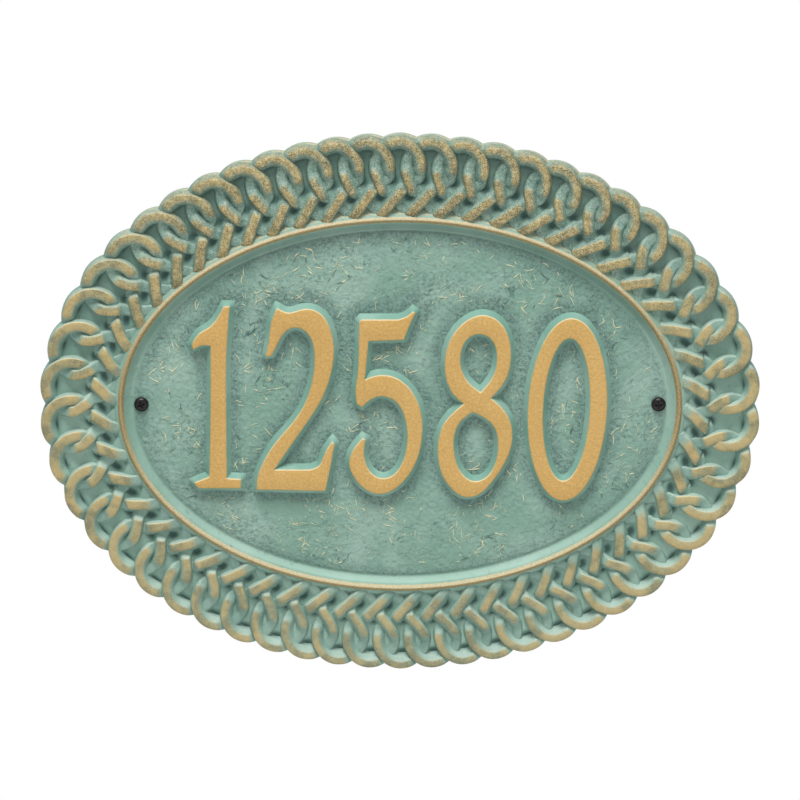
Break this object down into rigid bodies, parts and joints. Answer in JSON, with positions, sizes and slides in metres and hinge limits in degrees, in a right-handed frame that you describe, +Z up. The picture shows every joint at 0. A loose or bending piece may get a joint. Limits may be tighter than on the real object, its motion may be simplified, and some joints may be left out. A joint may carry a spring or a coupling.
{
  "type": "house number plaque",
  "caption": "Oval cast house number plaque with a scalloped border of interlaced loops, a rim bead, raised numerals and wall screws.",
  "frame": {"origin": "centre of the plaque's flat back, on the wall plane", "axes": "+X to the right as the number is read, +Z up, +Y into the wall, so the number faces -Y"},
  "size_m": [0.3928, 0.0304, 0.2988],
  "materials": {
    "painted_casting": "verdigris green paint with gold rubbed on the raised edges",
    "screw_steel": "black"
  },
  "bodies": {
    "root": {"plaque": "painted_casting", "mounting_screws": "screw_steel"}
  },
  "joints": []
}
